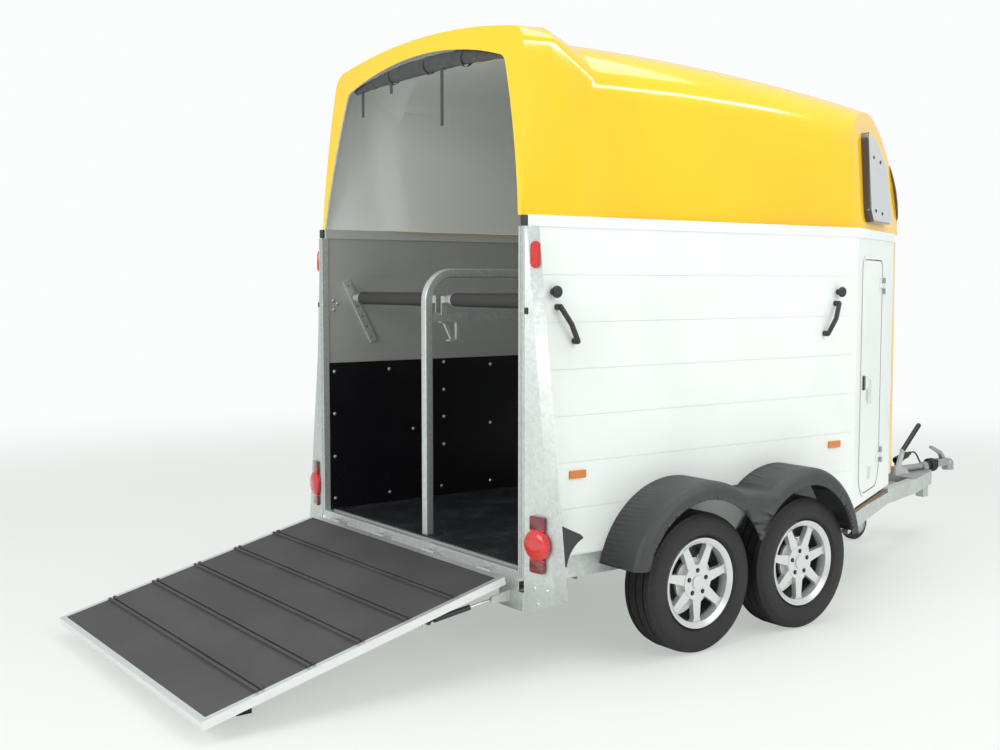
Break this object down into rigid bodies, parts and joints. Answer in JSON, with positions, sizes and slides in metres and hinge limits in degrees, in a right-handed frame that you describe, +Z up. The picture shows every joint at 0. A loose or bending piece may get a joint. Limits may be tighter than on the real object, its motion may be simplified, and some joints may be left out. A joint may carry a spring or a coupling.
{
  "type": "horse trailer",
  "caption": "Twin-axle horse trailer with plank walls, arched plastic hood, rear loading ramp on gas struts, side door, padded bars, partition and braked drawbar with jockey wheel.",
  "frame": {"origin": "on the ground, under the middle of the trailer between the ramp's tip and the coupling's tip", "axes": "+X forward to the coupling, +Y to the left, +Z up"},
  "size_m": [5.4498, 2.18, 2.666],
  "materials": {
    "galvanised": "hot-dip galvanised, matt",
    "anodised": "natural anodised",
    "cast_grey": "zinc-plated casting",
    "alloy": "silver lacquer",
    "chrome": "hard chrome",
    "strut_black": "black paint",
    "wall_white": "satin white",
    "shell_yellow": "glossy gel coat",
    "smoked_glass": "smoked acrylic",
    "lamp_red": "clear red lens",
    "reflector_orange": "prismatic",
    "black_plastic": "grained",
    "kick_black": "smooth board",
    "black_rubber": "matt",
    "padding": "soft vinyl",
    "curtain_black": "coated cloth",
    "floor_ply": "sealed plywood",
    "tyre_black": "matt"
  },
  "bodies": {
    "trailer": {"chassis_frame": "galvanised", "drawbar_frame": "galvanised", "overrun_housing": "galvanised", "drawbar_bellows": "black_rubber", "coupling_head": "cast_grey", "handbrake_lever": "galvanised", "axles": "galvanised", "floor_board": "floor_ply", "floor_mat": "black_rubber", "side_wall_right": "wall_white", "side_wall_left": "wall_white", "top_rail": "anodised", "quarter_panel_right": "wall_white", "quarter_panel_left": "wall_white", "front_panel": "shell_yellow", "hood": "shell_yellow", "side_windows": "smoked_glass", "front_window": "smoked_glass", "rear_post_right": "galvanised", "rear_post_left": "galvanised", "rear_sill": "galvanised", "rear_lamps": "lamp_red", "side_reflectors": "reflector_orange", "mudguard_left": "black_plastic", "mudguard_right": "black_plastic", "grab_handles": "black_plastic", "kick_boards": "kick_black", "partition_frame": "galvanised", "bar_brackets": "galvanised", "padded_bars": "padding", "rolled_curtain": "curtain_black", "wheel_chocks": "black_plastic", "door_hinges": "black_plastic", "jockey_clamp": "galvanised", "plug": "black_plastic", "plug_cable": "black_rubber", "cable_coil": "black_rubber"},
    "ramp": {"ramp_panel": "anodised", "ramp_mat": "black_rubber", "ramp_feet": "black_rubber", "ramp_fittings": "galvanised"},
    "side_door": {"side_door": "wall_white", "door_handle": "black_plastic"},
    "strut_body_right": {"strut_body_right": "strut_black"},
    "strut_rod_right": {"strut_rod_right": "chrome"},
    "wheel_rear_right": {"tyre_rear_right": "tyre_black", "rim_rear_right": "alloy"},
    "wheel_front_right": {"tyre_front_right": "tyre_black", "rim_front_right": "alloy"},
    "strut_body_left": {"strut_body_left": "strut_black"},
    "strut_rod_left": {"strut_rod_left": "chrome"},
    "wheel_rear_left": {"tyre_rear_left": "tyre_black", "rim_rear_left": "alloy"},
    "wheel_front_left": {"tyre_front_left": "tyre_black", "rim_front_left": "alloy"},
    "jockey_leg": {"jockey_tube": "galvanised"},
    "jockey_fork": {"jockey_fork": "galvanised"},
    "jockey_wheel": {"jockey_wheel": "black_rubber"}
  },
  "joints": [
    {"name": "ramp_hinge", "type": "hinge", "parent": "trailer", "child": "ramp", "pos_m": [-1.42627, 0, 0.4], "axis": [0, 1, 0], "range_deg": [0, 104.24]},
    {"name": "strut_turn_right", "type": "hinge", "parent": "ramp", "child": "strut_body_right", "pos_m": [-1.7736, -0.752, 0.26443], "axis": [0, 1, 0], "range_deg": [-7.73, 0]},
    {"name": "strut_slide_right", "type": "slide", "parent": "strut_body_right", "child": "strut_rod_right", "axis": [0.9896, 0, 0.1435], "range_m": [0, 0.1525]},
    {"name": "wheel_rear_right_spin", "type": "hinge", "parent": "trailer", "child": "wheel_rear_right", "pos_m": [-0.58127, -0.957, 0.302], "axis": [0, 1, 0], "continuous": true},
    {"name": "wheel_front_right_spin", "type": "hinge", "parent": "trailer", "child": "wheel_front_right", "pos_m": [0.06973, -0.957, 0.302], "axis": [0, 1, 0], "continuous": true},
    {"name": "strut_turn_left", "type": "hinge", "parent": "ramp", "child": "strut_body_left", "pos_m": [-1.7736, 0.752, 0.26443], "axis": [0, 1, 0], "range_deg": [-7.73, 0]},
    {"name": "strut_slide_left", "type": "slide", "parent": "strut_body_left", "child": "strut_rod_left", "axis": [0.9896, 0, 0.1435], "range_m": [0, 0.1525]},
    {"name": "wheel_rear_left_spin", "type": "hinge", "parent": "trailer", "child": "wheel_rear_left", "pos_m": [-0.58127, 0.957, 0.302], "axis": [0, 1, 0], "continuous": true},
    {"name": "wheel_front_left_spin", "type": "hinge", "parent": "trailer", "child": "wheel_front_left", "pos_m": [0.06973, 0.957, 0.302], "axis": [0, 1, 0], "continuous": true},
    {"name": "side_door_hinge", "type": "hinge", "parent": "trailer", "child": "side_door", "pos_m": [1.17666, -0.61927, 1.1], "axis": [0, 0, 1], "range_deg": [0, 100]},
    {"name": "jockey_lift", "type": "slide", "parent": "trailer", "child": "jockey_leg", "axis": [0, 0, 1], "range_m": [0, 0.09]},
    {"name": "jockey_swivel", "type": "hinge", "parent": "jockey_leg", "child": "jockey_fork", "pos_m": [1.92373, 0.1, 0.221], "axis": [0, 0, 1], "continuous": true},
    {"name": "jockey_roll", "type": "hinge", "parent": "jockey_fork", "child": "jockey_wheel", "pos_m": [1.87873, 0.1, 0.1], "axis": [0, 1, 0], "continuous": true}
  ],
  "couplings": [
    {"joint": "strut_turn_right", "follows": "ramp_hinge", "ratio": -0.064553},
    {"joint": "strut_slide_right", "follows": "ramp_hinge", "m_per_rad": 0.082725},
    {"joint": "strut_turn_left", "follows": "ramp_hinge", "ratio": -0.064553},
    {"joint": "strut_slide_left", "follows": "ramp_hinge", "m_per_rad": 0.082725}
  ]
}
